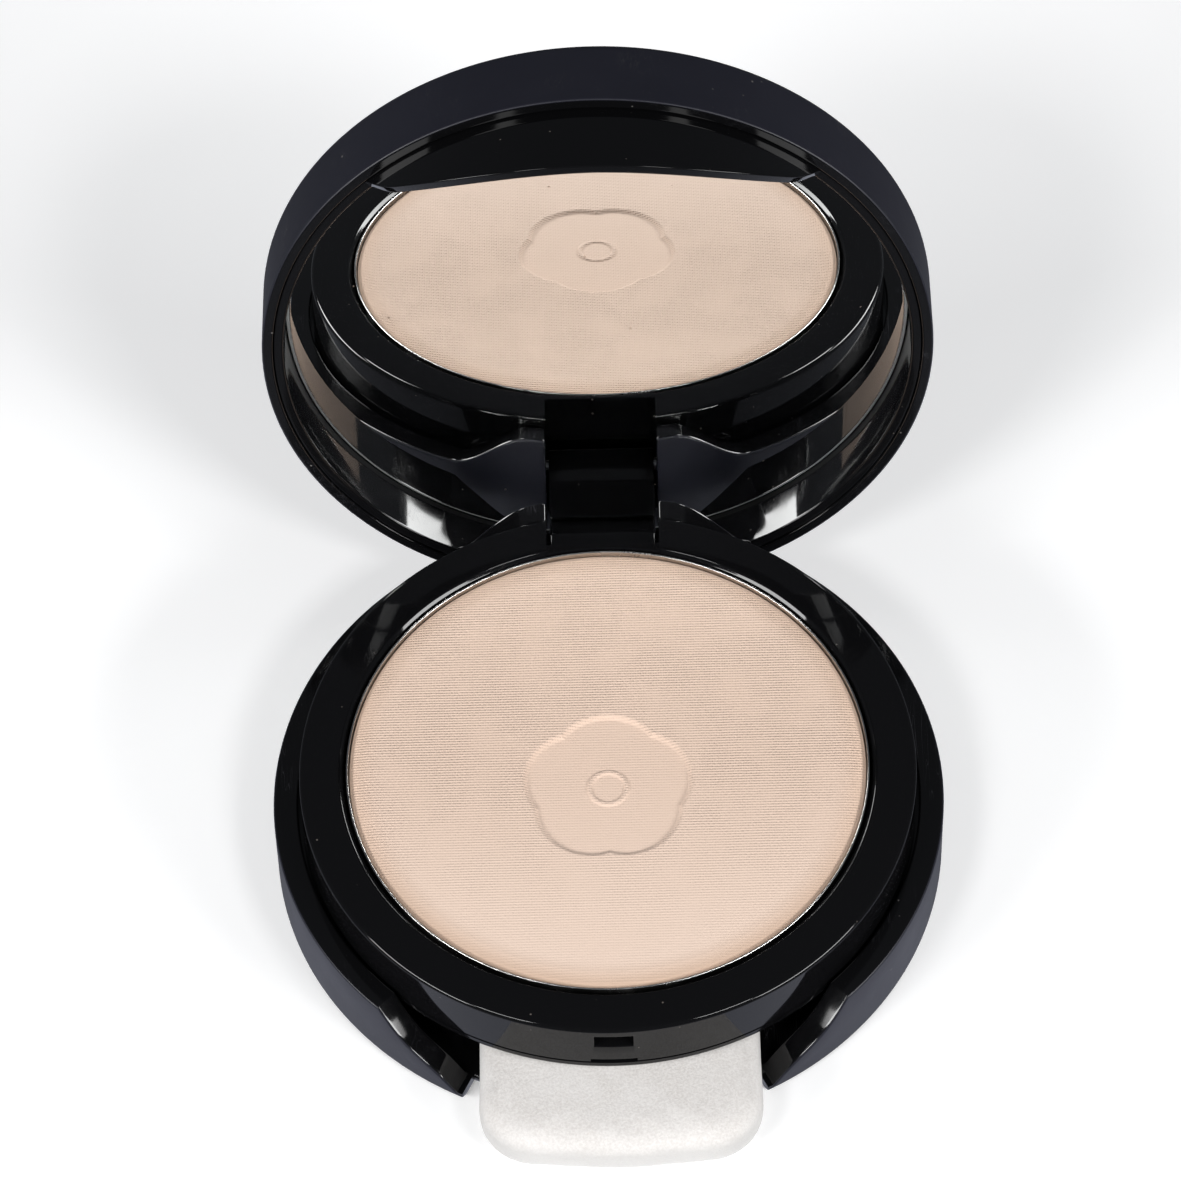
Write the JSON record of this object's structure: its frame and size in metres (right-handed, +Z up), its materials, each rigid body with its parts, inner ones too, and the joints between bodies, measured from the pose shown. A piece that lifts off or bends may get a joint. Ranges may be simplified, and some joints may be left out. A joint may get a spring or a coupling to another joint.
{
  "type": "powder compact",
  "caption": "Round hinged powder compact, open, with a mirror in the lid, a pan of pressed powder on a raised tray and a puff in a bay under it.",
  "frame": {"origin": "centre of the base's flat underside", "axes": "+Z up out of the base, +Y towards the hinge, -Y towards the thumb notch and the puff, +X along the hinge axis"},
  "size_m": [0.076, 0.1003, 0.0773],
  "materials": {
    "soft_touch_black": "soft-touch satin",
    "gloss_black": "polished moulding",
    "glue": "clear tacky glue and tape",
    "tin": "bright drawn tinplate",
    "powder": "pressed powder with a fine woven imprint",
    "steel": "ground",
    "mirror_glass": "back-silvered",
    "velour": "short dense nap"
  },
  "bodies": {
    "base": {"base_shell": "soft_touch_black", "tray": "gloss_black", "pan_glue": "glue", "pan": "tin", "powder_cake": "powder", "hinge_pin": "steel"},
    "lid": {"lid_cap": "soft_touch_black", "lid_liner": "gloss_black", "mirror_tape": "glue", "mirror": "mirror_glass"},
    "puff": {"puff": "velour"}
  },
  "joints": [
    {"name": "lid_hinge", "type": "hinge", "parent": "base", "child": "lid", "pos_m": [0, 0.0325, 0.008], "axis": [1, 0, 0], "range_deg": [0, 100]},
    {"name": "puff_slide", "type": "slide", "parent": "base", "child": "puff", "axis": [0, 1, 0], "range_m": [0, 0.012]}
  ],
  "couplings": [
    {"joint": "puff_slide", "follows": "lid_hinge", "m_per_rad": 0.00687}
  ]
}
